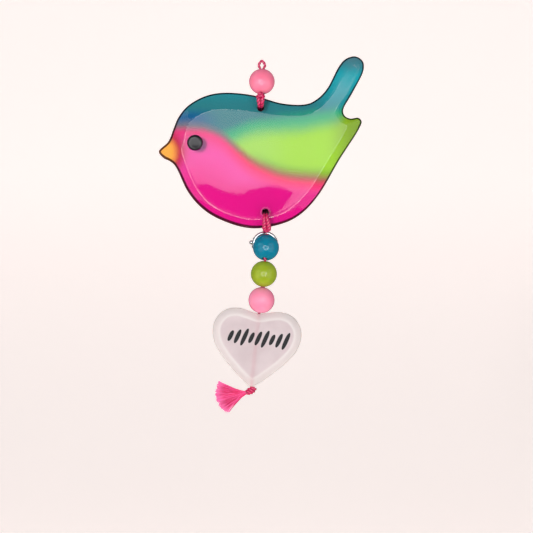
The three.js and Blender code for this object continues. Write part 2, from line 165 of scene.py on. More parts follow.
# Heart: half its outline as rows like the bird's, from the notch to the tip
HEART_HALF_THICKNESS = 2.75
HEART_LENGTH = 28.5
HEART_HALF_OUTLINE = [
    (0, 0, 0, -2.8), (4.6, 1.0, 4.2, -1.9), (8.8, 1.55, 8.4, -1.5), (13.4, 0.2, 11.9, -2.4),
    (16.6, -3.6, 13.9, -5.0), (17.45, -7.8, 14.4, -8.0), (16.2, -12.8, 13.2, -11.9),
    (12.6, -17.9, 9.9, -16.4), (7.3, -23.2, 5.0, -21.2), (2.6, -27.1, 1.5, -24.2), (0, -28.5, 0, -25.0),
]

# Clasp ring, tilted back behind the teal bead
RING_RADIUS = 4.4
RING_WIRE_RADIUS = 0.75
RING_OFFSET = (-0.4, 6.7, 1.4)
KNOB_RADIUS = 0.85
KNOB_REACH = 5.4
KNOB_TURN = math.radians(188)
COLLAR_TURNS = (math.radians(168), math.radians(208))

# Knot and tassel
KNOT_AT = (-4.4, 0.0, STRING_AT[2] - 55.85)
KNOT_TILT = math.radians(55)
KNOT_LENGTH = 4.2
KNOT_RADIUS = 1.55
KNOT_TURNS = 3.1
KNOT_STRAND = 0.5
TASSEL_NECK = (-6.4, 0.0, STRING_AT[2] - 56.7)
TASSEL_LENGTH = 11.6
TASSEL_FROM = math.radians(157)
TASSEL_TO = math.radians(228)
TASSEL_HALF_DEPTH = 2.0
TASSEL_THREADS = 240
TASSEL_LOCKS = 16


def linear(text):
    """Linear colour with alpha from a hex colour as it shows on a screen."""
    shown = [int(text[i:i + 2], 16) / 255 for i in (1, 3, 5)]
    return tuple(c / 12.92 if c <= 0.04045 else ((c + 0.055) / 1.055) ** 2.4 for c in shown) + (1.0,)


# Meshes
SMOOTH_ANGLE = 35


def shade_smooth(mesh, angle=SMOOTH_ANGLE):
    mesh.polygons.foreach_set("use_smooth", [True] * len(mesh.polygons))
    mesh.set_sharp_from_angle(angle=math.radians(angle))


def mesh_object(name, points, faces, smooth_angle=SMOOTH_ANGLE):
    """An object from points in millimetres, smooth but for edges sharper than an angle in degrees."""
    mesh = bpy.data.meshes.new(name)
    mesh.from_pydata((np.asarray(points, float) * MM).tolist(), [], faces)
    mesh.validate()
    mesh.update()
    shade_smooth(mesh, smooth_angle)
    obj = bpy.data.objects.new(name, mesh)
    bpy.context.collection.objects.link(obj)
    return obj


def keep_values(obj, name, values):
    """Keeps one number for each point of a mesh, for its material to read."""
    attribute = obj.data.attributes.new(name, "FLOAT", "POINT")
    attribute.data.foreach_set("value", np.asarray(values, np.float32))


def dress(obj, material, slot, *nodes):
    """Finishes a piece: its material, the CAD nodes that it stands for, and its body. The slot is not used.
    """
    obj.data.materials.append(material)
    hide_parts(*nodes)
    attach(obj, "root")
    return obj


def smooth_route(points, steps, closed=False):
    """Points along a smooth centripetal curve through the given ones, steps to each stretch."""
    given = np.asarray(points, float)
    count = len(given)
    made = []
    for i in range(count if closed else count - 1):
        b = given[i]
        c = given[(i + 1) % count]
        a = given[i - 1] if closed or i > 0 else 2 * b - c
        d = given[(i + 2) % count] if closed or i + 2 < count else 2 * c - b
        ab, bc, cd = (max(np.linalg.norm(q - p), 1e-6) ** 0.5 for p, q in ((a, b), (b, c), (c, d)))
        leave = bc * ((b - a) / ab - (c - a) / (ab + bc) + (c - b) / bc)
        arrive = bc * ((c - b) / bc - (d - b) / (bc + cd) + (d - c) / cd)
        for k in range(steps):
            t = k / steps
            made.append(
                b * (2 * t ** 3 - 3 * t ** 2 + 1) + leave * (t ** 3 - 2 * t ** 2 + t)
                + c * (3 * t ** 2 - 2 * t ** 3) + arrive * (t ** 3 - t ** 2)
            )
    if not closed:
        made.append(given[-1])
    return np.array(made)


def run_along(route):
    """How far along a route each of its points is."""
    steps = np.linalg.norm(np.diff(route[:, :3], axis=0), axis=1)
    return np.concatenate([[0], np.cumsum(steps)])


def evenly(points, spacing):
    """The same route with points an even distance apart; columns after the third go along."""
    run = run_along(points)
    places = np.linspace(0, run[-1], max(3, int(run[-1] / spacing)))
    return np.stack([np.interp(places, run, points[:, k]) for k in range(points.shape[1])], axis=1)


def ring_faces(rows, count):
    """Faces between neighbouring rows of count points, each row a closed ring."""
    faces = []
    for row in range(rows - 1):
        for k in range(count):
            here, after = row * count + k, row * count + (k + 1) % count
            faces.append((here, after, after + count, here + count))
    return faces


def end_faces(rows, count):
    """One face over the first of such rows and one over the last."""
    last = (rows - 1) * count
    return [tuple(range(count - 1, -1, -1)), tuple(range(last, last + count))]


def sweep_tube(route, radius, sides=18, plies=0, depth=0.0, pitch=3.0):
    """A closed tube along a route, with twisted plies.
    Returns points, faces and how deep each point is in a groove."""
    route = np.asarray(route, float)
    along = np.gradient(route[:, :3], axis=0)
    along /= np.linalg.norm(along, axis=1, keepdims=True)
    run = run_along(route)
    radii = route[:, 3] if route.shape[1] > 3 else np.full(len(route), radius)
    first = np.cross(along[0], (0.31, 0.87, 0.4))
    side = first / np.linalg.norm(first)
    points, groove = [], []
    for i, (place, direction) in enumerate(zip(route[:, :3], along)):
        side = side - direction * side.dot(direction)
        side /= np.linalg.norm(side)
        up = np.cross(direction, side)
        for k in range(sides):
            angle = 2 * math.pi * k / sides
            dip = 0.0
            if plies:
                dip = abs(math.sin(plies / 2 * (angle - 2 * math.pi * run[i] / pitch)))
                dip = (1 - dip) ** GROOVE_POWER
            reach = radii[i] * (1 - depth * dip)
            points.append(place + reach * (math.cos(angle) * side + math.sin(angle) * up))
            groove.append(dip)
    return points, ring_faces(len(route), sides) + end_faces(len(route), sides), groove


def join_parts(parts):
    """Several lists of points, faces and values as one."""
    points, faces, values = [], [], []
    for more_points, more_faces, more_values in parts:
        shift = len(points)
        points.extend(more_points)
        faces.extend(tuple(i + shift for i in face) for face in more_faces)
        values.extend(more_values)
    return points, faces, values


def lathe(profile, sides, closed):
    """Turns a profile of (radius, height) round Z."""
    points = []
    for radius, height in profile:
        for k in range(sides):
            angle = 2 * math.pi * k / sides
            points.append((radius * math.cos(angle), radius * math.sin(angle), height))
    rows = len(profile)
    if not closed:
        return points, ring_faces(rows, sides) + end_faces(rows, sides)
    return points, [tuple(i % len(points) for i in face) for face in ring_faces(rows + 1, sides)]


def bend(a, b, c, steps):
    """Points of a quadratic curve from a to c, drawn towards b."""
    return [
        tuple((1 - t) ** 2 * p + 2 * t * (1 - t) * q + t * t * r for p, q, r in zip(a, b, c))
        for t in (k / steps for k in range(steps + 1))
    ]


def rim_profile(width, drop, corner, crease, edge):
    """(run out from the flat face, fall) down a bevelled rim with a soft crease and a round edge."""
    crease = min(crease, 0.5 * width)
    edge = min(edge, 0.4 * width)
    slope = corner / (width - crease / 2)
    crease_end = (crease, slope * crease / 2)
    edge_start = (width - edge, slope * (width - edge - crease / 2))
    middle = [
        tuple(p + (q - p) * t for p, q in zip(crease_end, edge_start)) for t in (0.25, 0.5, 0.75)
    ]
    top = bend((0, 0), (crease / 2, 0), crease_end, 6)
    return top + middle + bend(edge_start, (width, corner), (width, drop), 8)


def inside(polygon, places):
    """Which of the places are inside a closed polygon."""
    x, y = places[:, 0], places[:, 1]
    hit = np.zeros(len(places), bool)
    for (x0, y0), (x1, y1) in zip(polygon, np.roll(polygon, -1, axis=0)):
        if y0 != y1:
            hit ^= ((y0 > y) != (y1 > y)) & (x < (x1 - x0) * (y - y0) / (y1 - y0) + x0)
    return hit


def cap_points(loop, spacing):
    """Points inside a closed loop on an offset grid, and how far each is from the loop."""
    low, high = loop.min(0), loop.max(0)
    rows = np.arange(low[1], high[1], spacing)
    grid = np.array([
        (u, v) for row, v in enumerate(rows)
        for u in np.arange(low[0] + (row % 2) * spacing / 2, high[0], spacing)
    ])
    away = np.linalg.norm(grid[:, None] - loop[None], axis=2).min(1)
    kept = (away > 0.6 * spacing) & inside(loop, grid)
    return grid[kept], away[kept]


def slab(rings, spacing, relief=None):
    """A closed slab in the XZ plane. rings are (points, depth) from the front face to the back one.
    relief gives the front face's slight waves. Returns points and faces."""
    count = len(rings[0][0])
    points = []
    for loop, depth in rings:
        points.extend((loop[i][0], depth[i], loop[i][1]) for i in range(count))
    faces = ring_faces(len(rings), count)
    for is_front in (True, False):
        start = 0 if is_front else (len(rings) - 1) * count
        loop, depth = rings[0 if is_front else -1]
        flat = [Vector(p) for p in loop]
        source = list(range(start, start + count))
        ties = [(i, (i + 1) % count) for i in range(count)]
        for place, away in zip(*cap_points(loop, spacing)):
            flat.append(Vector(place))
            source.append(len(points))
            nearest = np.linalg.norm(loop - place, axis=1).argmin()
            wave = relief(*place) * min(1.0, away / RELIEF_MARGIN) if relief and is_front else 0.0
            points.append((place[0], depth[nearest] + wave, place[1]))
        _, _, triangles, origin, _, _ = delaunay_2d_cdt(flat, ties, [], 1, 1e-5)
        corners = np.array([[origin[i][0] for i in triangle] for triangle in triangles])
        kept = inside(loop, np.array(flat)[corners].mean(1))
        for corner in corners[kept]:
            ids = [source[i] for i in corner]
            faces.append(tuple(ids) if is_front else tuple(reversed(ids)))
    return points, faces


def bore(obj, cutters):
    """Cuts closed shapes of points and faces out of a piece."""
    points, faces, _ = join_parts([(p, f, []) for p, f in cutters])
    tool = mesh_object("bore_tool", points, faces)
    cut = obj.modifiers.new("bore", "BOOLEAN")
    cut.operation = "DIFFERENCE"
    cut.solver = "EXACT"
    cut.object = tool
    shaped = bpy.data.meshes.new_from_object(obj.evaluated_get(bpy.context.evaluated_depsgraph_get()))
    obj.modifiers.clear()
    obj.data = shaped
    bpy.data.objects.remove(tool)
    shade_smooth(shaped)


def edge_gaps(obj, edge):
    """How far each point of a piece is from an edge of (x, z) points, and which edge point is nearest."""
    co = np.array([v.co for v in obj.data.vertices]) / MM
    gaps = np.linalg.norm(co[:, None, [0, 2]] - edge[None], axis=2)
    nearest = gaps.argmin(1)
    return gaps[np.arange(len(co)), nearest], nearest


def outline_loops(rows, steps):
    """The smooth edge of a slab, and the smooth edge of its flat face."""
    rows = np.asarray(rows, float)
    return smooth_route(rows[:, :2], steps, True), smooth_route(rows[:, 2:], steps, True)


def rim_rings(edge, flat, half_thickness, drop, corner, crease, edge_round, sign):
    """Rings of a bevelled rim from the flat face out to the edge, at the front (-1) or the back (+1).
    half_thickness and crease may change round the outline."""
    width = np.linalg.norm(edge - flat, axis=1)
    thickness = np.broadcast_to(half_thickness, width.shape)
    creases = np.broadcast_to(crease, width.shape)
    profiles = [rim_profile(w, drop, corner, c, edge_round) for w, c in zip(width, creases)]
    rings = []
    for k in range(len(profiles[0])):
        share = np.array([profile[k][0] / w for profile, w in zip(profiles, width)])
        depth = np.array([sign * (half - profile[k][1]) for half, profile in zip(thickness, profiles)])
        rings.append((flat + (edge - flat) * share[:, None], depth))
    return rings


# Materials
WHITE = (1, 1, 1, 1)
GLASS_IOR = 1.5
LIT_THROUGH = 0.25


def new_material(name):
    material = bpy.data.materials.new(name)
    material.use_nodes = True
    material.node_tree.nodes.clear()
    return material, material.node_tree


def fill(socket, value):
    """Links a socket to another, or sets its number or colour, which may be a hex text."""
    if isinstance(value, bpy.types.NodeSocket):
        socket.id_data.links.new(value, socket)
    else:
        socket.default_value = linear(value) if isinstance(value, str) else value


def add(tree, kind, inputs=None, **settings):
    """Adds a shader node, sets it up, and links or fills its inputs."""
    node = tree.nodes.new("ShaderNode" + kind)
    for key, value in settings.items():
        setattr(node, key, value)
    for key, value in (inputs or {}).items():
        fill(node.inputs[key], value)
    return node


def tree_of(*values):
    """The node tree of the first socket among some values."""
    return next(value.id_data for value in values if isinstance(value, bpy.types.NodeSocket))


def calc(operation, *values):
    return add(tree_of(*values), "Math", dict(enumerate(values)), operation=operation).outputs[0]


def times(a, b):
    return calc("MULTIPLY", a, b)


def minus(a, b):
    return calc("SUBTRACT", a, b)


def scaled(value, scale, start):
    return calc("MULTIPLY_ADD", value, scale, start)


def mix(factor, a, b, mode="MIX"):
    inputs = {0: factor, 6: a, 7: b}
    return add(tree_of(factor, a, b), "Mix", inputs, data_type="RGBA", blend_type=mode).outputs[2]


def fade(value, low, high):
    """0 below low, 1 above high, smooth between them."""
    inputs = {"Value": value, "From Min": low, "From Max": high}
    return add(value.id_data, "MapRange", inputs, interpolation_type="SMOOTHSTEP").outputs["Result"]


def place_mm(tree):
    """The object's own coordinates in millimetres."""
    place = add(tree, "TexCoord").outputs["Object"]
    return add(tree, "VectorMath", {0: place, "Scale": 1 / MM}, operation="SCALE").outputs[0]


def axes(place):
    """The x, y and z of a place."""
    return add(place.id_data, "SeparateXYZ", {0: place}).outputs


def flat_distance(x, z, place):
    """How far a point is from a given place (x, z), seen from the front."""
    here = add(x.id_data, "CombineXYZ", {0: x, 2: z}).outputs[0]
    inputs = {0: here, 1: (place[0], 0.0, place[1])}
    return add(x.id_data, "VectorMath", inputs, operation="DISTANCE").outputs["Value"]


def noise(place, scale, detail=2.0, roughness=0.5):
    inputs = {"Vector": place, "Scale": scale, "Detail": detail, "Roughness": roughness}
    return add(place.id_data, "TexNoise", inputs).outputs["Fac"]


def bump(height, strength, distance):
    inputs = {"Height": height, "Strength": strength, "Distance": distance}
    return add(height.id_data, "Bump", inputs).outputs[0]


def point_value(tree, name):
    return add(tree, "Attribute", attribute_name=name).outputs["Fac"]


def finish_surface(material, shader):
    output = add(material.node_tree, "OutputMaterial")
    material.node_tree.links.new(shader, output.inputs["Surface"])
    return material


def principled(material, inputs):
    return finish_surface(material, add(material.node_tree, "BsdfPrincipled", inputs).outputs[0])


def height_along(x, line):
    """The height of a line through given points (x, z), at the place x."""
    low_x, high_x = line[0][0], line[-1][0]
    low_z, high_z = min(z for _, z in line), max(z for _, z in line)
    inputs = {"Value": x, "From Min": low_x, "From Max": high_x}
    share = add(x.id_data, "MapRange", inputs).outputs["Result"]
    curve = add(x.id_data, "FloatCurve", {"Value": share})
    points = curve.mapping.curves[0].points
    shares = [((px - low_x) / (high_x - low_x), (pz - low_z) / (high_z - low_z)) for px, pz in line]
    points[0].location = shares[0]
    points[-1].location = shares[-1]
    for place in shares[1:-1]:
        points.new(*place)
    curve.mapping.update()
    return scaled(curve.outputs[0], high_z - low_z, low_z)


# Where the breast's pink ends and the back's teal turns to green, from the head to the tail
PINK_TOP = [
    (-40.0, -26.4), (-33.0, -26.3), (-24.6, -26.3), (-18.9, -27.8), (-15.2, -29.8), (-11.6, -33.0),
    (-7.4, -36.7), (-3.2, -39.9), (2.0, -42.5), (7.2, -44.5), (12.4, -45.6), (22.9, -46.4), (32.0, -46.9),
]
GREEN_TOP = [
    (-40.0, -34.0), (-22.0, -33.0), (-15.2, -30.8), (-11.6, -29.2), (-7.4, -27.1), (-3.2, -25.8),
    (2.0, -25.0), (7.2, -24.7), (12.4, -24.2), (17.7, -23.7), (22.9, -22.8), (28.1, -21.6), (31.0, -19.5),
    (33.3, -17.0), (40.0, -12.0),
]
BEAK_AT = (-38.6, -36.0)
GLASS = {
    "teal": "#2b8089", "blue": "#146398", "cyan": "#0aa6b4", "sea": "#33b47e", "green": "#a4dc28",
    "pale": "#a6dc52", "coral": "#f41464", "rose": "#ee1a7c", "pink": "#ee42ac", "magenta": "#e80c90",
    "red": "#c8103a", "orange": "#ffb542", "dusk": "#a8684e", "grey": "#7c7480", "mauve": "#826e7e",
}
# Darker places: the wing's tip, the tail's end and along the seam; and beside the eye, a painted shadow of
# the eye on the colour layer
WING_TIP_TINT = (0.64, 0.58, 0.8, 1)
TAIL_END_TINT = (1.7, 0.52, 0.54, 1)
TAIL_END_MAUVE = 0.25
EYE_SHADE_TINT = (0.4, 0.66, 0.68, 1)
EYE_SHADE_SHIFT = (1.7, -0.5)
SEAM_SHADE_TINT = (0.72, 0.77, 0.84, 1)
# Where each colour or shade comes in, from none of it to all: along x, up z, or by a distance from its line
FADES = {
    "brow_x": (-14, -28), "brow_z": (-18.5, -23), "tail_x": (18, 28), "tail_z": (-28, -4),
    "cyan_z": (-20, -4), "pale_x": (14, -2), "sea": (-7.4, 0.8), "teal": (-0.5, 4.6), "rose_x": (-6, -17),
    "pink": (0, 9), "low_z": (-46, -51.5), "low": (3, 7), "magenta": (8, 24), "red": (11.5, 6),
    "orange": (7.6, 3.2), "dusk_x": (-18, -5), "shade": (-5.6, -2.2), "shade_x": (-8, 4), "seam": (-3.4, 0.6),
    "breast": (-0.8, 2.6), "wing_tip_x": (24, 36), "wing_tip_z": (-19, -24), "tail_end_z": (-6.8, 0.4),
    "eye": (EYE_RADIUS + 0.4, EYE_RADIUS - 1.4),
}
# How far noise moves the edges of the colours, and how much its grain changes their tone
RAGGED_GREEN = 1.6
DRIFT_GREEN = 2.0
RAGGED_BEAK = 0.8
GRAIN = 0.95


def bird_colour(tree):
    """The glass's colour by place: a teal back, a green wing, a pink breast and an orange beak."""
    place = place_mm(tree)
    x, _, z = axes(place)
    ragged = minus(noise(place, 0.9, 4.0, 0.65), 0.5)
    drift = minus(noise(place, 0.09, 1.0), 0.5)

    def through(value, name):
        return fade(value, *FADES[name])

    on_brow = times(through(x, "brow_x"), through(z, "brow_z"))
    teal = mix(on_brow, GLASS["teal"], GLASS["blue"])
    at_tail = times(through(x, "tail_x"), through(z, "tail_z"))
    teal = mix(calc("MAXIMUM", through(z, "cyan_z"), at_tail), teal, GLASS["cyan"])
    above_green = minus(z, height_along(x, GREEN_TOP))
    above_green = scaled(ragged, RAGGED_GREEN, above_green)
    above_green = scaled(drift, DRIFT_GREEN, above_green)
    green = mix(through(x, "pale_x"), GLASS["green"], GLASS["pale"])
    upper = mix(through(above_green, "sea"), green, GLASS["sea"])
    upper = mix(through(above_green, "teal"), upper, teal)

    below_top = calc("ADD", ragged, minus(height_along(x, PINK_TOP), z))
    coral = mix(through(x, "rose_x"), GLASS["coral"], GLASS["rose"])
    pink = mix(through(below_top, "pink"), coral, GLASS["pink"])
    low_down = times(through(z, "low_z"), through(below_top, "low"))
    deepest = calc("MAXIMUM", through(below_top, "magenta"), low_down)
    pink = mix(deepest, pink, GLASS["magenta"])
    from_beak = scaled(ragged, RAGGED_BEAK, flat_distance(x, z, BEAK_AT))
    pink = mix(through(from_beak, "red"), pink, GLASS["red"])
    lower = mix(through(from_beak, "orange"), pink, GLASS["orange"])

    seam = mix(through(x, "dusk_x"), GLASS["grey"], GLASS["dusk"])
    shaded = times(through(below_top, "shade"), through(x, "shade_x"))
    upper = mix(shaded, upper, SEAM_SHADE_TINT, "MULTIPLY")
    colour = mix(through(below_top, "seam"), upper, seam)
    colour = mix(through(below_top, "breast"), colour, lower)
    wing_tip = times(through(x, "wing_tip_x"), through(z, "wing_tip_z"))
    colour = mix(wing_tip, colour, WING_TIP_TINT, "MULTIPLY")
    tail_end = through(z, "tail_end_z")
    colour = mix(tail_end, colour, TAIL_END_TINT, "MULTIPLY")
    colour = mix(times(tail_end, TAIL_END_MAUVE), colour, GLASS["mauve"])
    # Painted shadow of the eye: a dark disc shifted right and down from it
    eye_shade = [sum(parts) for parts in zip(EYE_PLACE, (BIRD_X, BIRD_Z), EYE_SHADE_SHIFT)]
    from_eye = flat_distance(x, z, eye_shade)
    colour = mix(through(from_eye, "eye"), colour, EYE_SHADE_TINT, "MULTIPLY")
    grain = minus(noise(place, 2.2, 3.0, 0.7), 0.5)
    return mix(1.0, colour, scaled(grain, GRAIN, 1.0), "MULTIPLY")


def colour_layer_material():
    """The coloured layer fused into the back of the bird: matt, and letting some light through."""
    material, tree = new_material("bird_colour")
    colour = bird_colour(tree)
    matt = add(tree, "BsdfDiffuse", {"Color": colour}).outputs[0]
    lit_through = add(tree, "BsdfTranslucent", {"Color": colour}).outputs[0]
    shader = add(tree, "MixShader", {0: LIT_THROUGH, 1: matt, 2: lit_through}).outputs[0]
    return finish_surface(material, shader)


# The glass's tint darkens to a thin line along its edge, for the long path through the coloured edge, and as
# painted shade where the line is thicker
EDGE_LINE_SHADE_TINT = (0.012, 0.012, 0.02, 1)
EDGE_LINE_FADE = (1.0, 0.68)
# The glass is less glossy up the tail
GLASS_ROUGHNESS = 0.02
TAIL_ROUGHNESS = 0.16
TAIL_ROUGHNESS_Z = (-17.0, -9.0)
# A painted highlight as a pale line along the crease round the flat face, and another as a pale ring round
# the lower hole's mouth
PALE_SHARE = 0.45
CREASE_SHARE = 0.06
HOLE_RIM_SHARE = 0.14
HOLE_RIM_INNER = (1.5, 1.75)
HOLE_RIM_OUTER = (2.1, 1.85)
HOLE_RIM_Y = (-2.5, -2.8)
HOLE_SHADE_TINT = (0.1, 0.1, 0.1, 1)


def bird_glass_material():
    """Clear glass over the colours, its tint darkening to an edge line (thicker as painted shade where the
    edge faces down), with painted highlights along its crease and round the lower hole.
    """
    material, tree = new_material("bird_glass")
    colour, place = bird_colour(tree), place_mm(tree)
    x, y, z = axes(place)
    deep = mix(1.0, colour, EDGE_LINE_SHADE_TINT, "MULTIPLY")
    tint = mix(fade(point_value(tree, "line"), *EDGE_LINE_FADE), WHITE, deep)
    inputs = {
        "Base Color": tint, "Transmission Weight": 1.0, "IOR": GLASS_IOR,
        "Roughness": scaled(fade(z, *TAIL_ROUGHNESS_Z), TAIL_ROUGHNESS, GLASS_ROUGHNESS),
        "Normal": bump(noise(place, 1.4, 3.0, 0.6), 0.005, 0.0002),
    }
    glass = add(tree, "BsdfPrincipled", inputs).outputs[0]
    painted_highlight = add(tree, "BsdfDiffuse", {"Color": mix(PALE_SHARE, colour, WHITE)}).outputs[0]
    crease = times(point_value(tree, "crease"), CREASE_SHARE)
    away = flat_distance(x, z, (BIRD_X + LOWER_HOLE[0], BIRD_Z + LOWER_HOLE[1]))
    rim = times(fade(away, *HOLE_RIM_INNER), fade(away, *HOLE_RIM_OUTER))
    pale = scaled(times(rim, fade(y, *HOLE_RIM_Y)), HOLE_RIM_SHARE, crease)
    return finish_surface(material, add(tree, "MixShader", {0: pale, 1: glass, 2: painted_highlight}).outputs[0])


def hole_shade_material():
    """The rough wall of a drilled hole, in the glass's colours darkened as painted shade inside the hole."""
    material, tree = new_material("hole_wall")
    colour = mix(1.0, bird_colour(tree), HOLE_SHADE_TINT, "MULTIPLY")
    return principled(material, {"Base Color": colour, "Roughness": 0.7})


def eye_material():
    material, tree = new_material("eye_glass")
    mottle = noise(place_mm(tree), 1.2)
    colour = mix(mottle, "#0c0b0f", "#1d1a22")
    inputs = {"Base Color": colour, "Roughness": 0.12, "IOR": GLASS_IOR}
    return principled(material, inputs)


def bead_material(name, deep, pale):
    """Cloudy coloured glass, with painted shade inside its bore."""
    material, tree = new_material(name)
    place = place_mm(tree)
    cloud = noise(place, 0.16, 2.0, 0.5)
    colour = mix(fade(cloud, 0.25, 0.75), deep, pale)
    bore_shade = point_value(tree, "bore")
    colour = mix(bore_shade, colour, "#1c0812")
    inputs = {
        "Base Color": colour, "Roughness": 0.04, "IOR": GLASS_IOR, "Specular IOR Level": 0.48,
        "Subsurface Weight": scaled(bore_shade, -0.9, 0.9),
        "Subsurface Radius": (1.0, 0.8, 0.8), "Subsurface Scale": 0.0015,
    }
    return principled(material, inputs)


# The heart's printed place, in the string's frame: a row of slanting brush strokes
STROKES_AT = (0.75, -35.5)
STROKES_WIDTH = 24.3
STROKE_PITCH = 2.7
STROKE_HALF_HEIGHT = 2.8
STROKE_RISE = 0.75
STROKE_RISE_TURN = 2.1
STROKE_SLANT = 0.32
STROKE_HALF_WIDTH = 0.85
STROKE_TAPER = 2.5
STROKE_SOFT = 0.09


def heart_strokes(place):
    """How much of the dark print covers a place: a row of slanting strokes, some taller, thin at the ends."""
    lean_sin, lean_cos = math.sin(STRING_LEAN), math.cos(STRING_LEAN)
    x, y, z = axes(place)
    x, z = minus(x, STRING_AT[0]), minus(z, STRING_AT[2])
    u = minus(minus(times(x, lean_cos), times(z, lean_sin)), STROKES_AT[0])
    v = minus(calc("ADD", times(x, lean_sin), times(z, lean_cos)), STROKES_AT[1])
    across = minus(u, times(v, STROKE_SLANT))
    cell = calc("FLOOR", scaled(across, 1 / STROKE_PITCH, 0.5))
    in_cell = calc("ABSOLUTE", minus(across, times(cell, STROKE_PITCH)))
    rise = calc("SINE", times(cell, STROKE_RISE_TURN))
    share = calc("ABSOLUTE", calc("DIVIDE", v, scaled(rise, STROKE_RISE, STROKE_HALF_HEIGHT)))
    narrowing = calc("POWER", share, STROKE_TAPER)
    taper = calc("SQRT", calc("MAXIMUM", minus(1.0, narrowing), 0.0))
    ink = fade(minus(in_cell, times(taper, STROKE_HALF_WIDTH)), STROKE_SOFT, -STROKE_SOFT)
    in_row = fade(calc("ABSOLUTE", across), STROKES_WIDTH / 2 + 0.02, STROKES_WIDTH / 2)
    within = fade(share, 1.0, 0.98)
    front = fade(y, -0.5, -1.0)
    return times(times(ink, in_row), times(within, front))


def heart_material():
    material, tree = new_material("heart_glass")
    place = place_mm(tree)
    cloud = noise(place, 0.12, 3.0, 0.55)
    inset = point_value(tree, "inset")
    # Greyer inside and paler towards the rim as painted light for light through the frosted glass, with a
    # painted highlight along the bevel
    colour = mix(fade(cloud, 0.3, 0.7), "#cabdc0", "#d3c8ca")
    rim = mix(fade(inset, 0.0, 1.2), "#dfd9d7", "#dad3d2")
    bevel_highlight = times(fade(inset, 2.1, 2.7), fade(inset, 3.3, 2.8))
    colour = mix(fade(inset, 3.7, 2.6), colour, rim)
    colour = mix(bevel_highlight, colour, "#ddd8d7")
    ink = heart_strokes(place)
    colour = mix(ink, colour, "#0c0a10")
    clear = times(minus(1.0, ink), 0.32)
    frost = noise(place, 6.0, 2.0)
    inputs = {
        "Base Color": colour, "Roughness": 0.65, "IOR": 1.45, "Transmission Weight": clear,
        "Normal": bump(frost, 0.15, 0.00005),
        "Subsurface Weight": 0.5, "Subsurface Radius": (1.0, 0.9, 0.9), "Subsurface Scale": 0.002,
    }
    return principled(material, inputs)


def cord_material():
    """Satin twisted cord, with painted shade between its plies and inside the bird's holes."""
    material, tree = new_material("cord_satin")
    groove = point_value(tree, "groove")
    fibres = noise(place_mm(tree), 7.0, 3.0, 0.7)
    colour = mix(fade(fibres, 0.3, 0.7), "#be0a4a", "#e2266a")
    # A painted highlight where the cord faces the view, streaked by its fibres
    facing = add(tree, "LayerWeight", {"Blend": 0.5}).outputs["Facing"]
    painted_sheen = times(fade(facing, 0.2, 0.03), fade(fibres, 0.45, 0.62))
    colour = mix(times(painted_sheen, 0.45), colour, "#ffa6c6")
    # Painted shade in the grooves between plies and inside the holes
    colour = mix(fade(groove, 0.2, 1.0), colour, "#5e0830")
    inputs = {
        "Base Color": colour, "Roughness": 0.3, "Specular IOR Level": 0.5,
        "Sheen Weight": 0.05, "Sheen Roughness": 0.4,
    }
    return principled(material, inputs)


def thread_material():
    """Soft matt threads, each of its own tone, paler at the cut ends."""
    material, tree = new_material("tassel_thread")
    tone = point_value(tree, "tone")
    along = point_value(tree, "along")
    colour = mix(tone, "#d40853", "#ff5ca4")
    colour = mix(fade(along, 0.7, 1.0), colour, "#ff74b4")
    fuzz = noise(place_mm(tree), 9.0)
    colour = mix(0.35, colour, mix(fuzz, (0.3, 0.3, 0.3, 1), WHITE), "OVERLAY")
    inputs = {"Base Color": colour, "Roughness": 0.8, "Sheen Weight": 0.15, "Sheen Roughness": 0.5}
    return principled(material, inputs)


def silver_material():
    material, tree = new_material("silver")
    scuff = noise(place_mm(tree), 3.0, 4.0, 0.7)
    rough = scaled(scuff, 0.16, 0.06)
    inputs = {"Base Color": "#d9dbe0", "Metallic": 1.0, "Roughness": rough}
    return principled(material, inputs)


# Camera, stage and light
def make_camera():
    data = bpy.data.cameras.new("camera")
    data.sensor_width = SENSOR
    data.lens = SENSOR * -CAMERA_AT[1] / FRAME_WIDTH
    camera = bpy.data.objects.new("camera", data)
    camera.location = Vector(CAMERA_AT) * MM
    camera.rotation_euler = (math.pi / 2, 0, 0)
    bpy.context.collection.objects.link(camera)
    bpy.context.scene.camera = camera


def make_sweep():
    """A pale floor that curves up into a wall."""
    profile = [(SWEEP_FRONT_Y, FLOOR_Z)]
    for step in range(SWEEP_STEPS + 1):
        angle = math.pi / 2 * step / SWEEP_STEPS
        profile.append((
            WALL_Y - SWEEP_RADIUS + SWEEP_RADIUS * math.sin(angle),
            FLOOR_Z + SWEEP_RADIUS - SWEEP_RADIUS * math.cos(angle),
        ))
    profile.append((WALL_Y, SWEEP_TOP_Z))
    points = [(x, y, z) for x in (-SWEEP_HALF_WIDTH, SWEEP_HALF_WIDTH) for y, z in profile]
    count = len(profile)
    faces = [(i, i + 1, i + 1 + count, i + count) for i in range(count - 1)]
    sweep = mesh_object("pale_sweep", points, faces, 80)
    material, tree = new_material("pale_sweep")
    inputs = {
        "Base Color": mix(noise(place_mm(tree), 0.004), "#f3e9e6", "#f6eeeb"), "Roughness": 0.9,
        "Emission Color": SWEEP_GLOW_TINT, "Emission Strength": SWEEP_GLOW,
    }
    sweep.data.materials.append(principled(material, inputs))
    sweep.visible_glossy = False


def in_opening(x, z):
    """Whether a place on the ring light's plane is in its dark opening."""
    level = z - OPENING_RISE[1] * max(0.0, OPENING_RISE[0] - x)
    over = [
        max(0.0, abs(place - middle) - half + OPENING_CORNER)
        for place, middle, half in zip((x, level), OPENING_CENTRE, OPENING_HALF)
    ]
    slant_x, slant_z, slant = OPENING_SLANT
    in_window = math.hypot(*over) <= OPENING_CORNER and x <= slant_x + slant * (z - slant_z)
    return in_window or math.dist((x, z), LENS_CENTRE) <= LENS_RADIUS


def polar(centre, reach, angle):
    return centre[0] + reach * math.cos(angle), centre[1] + reach * math.sin(angle)


def opening_edge(angle):
    """The point of the opening's edge in the direction of an angle."""
    reach = 0.0
    while in_opening(*polar(OPENING_START, reach, angle)):
        reach += 0.5
    return polar(OPENING_START, reach, angle)


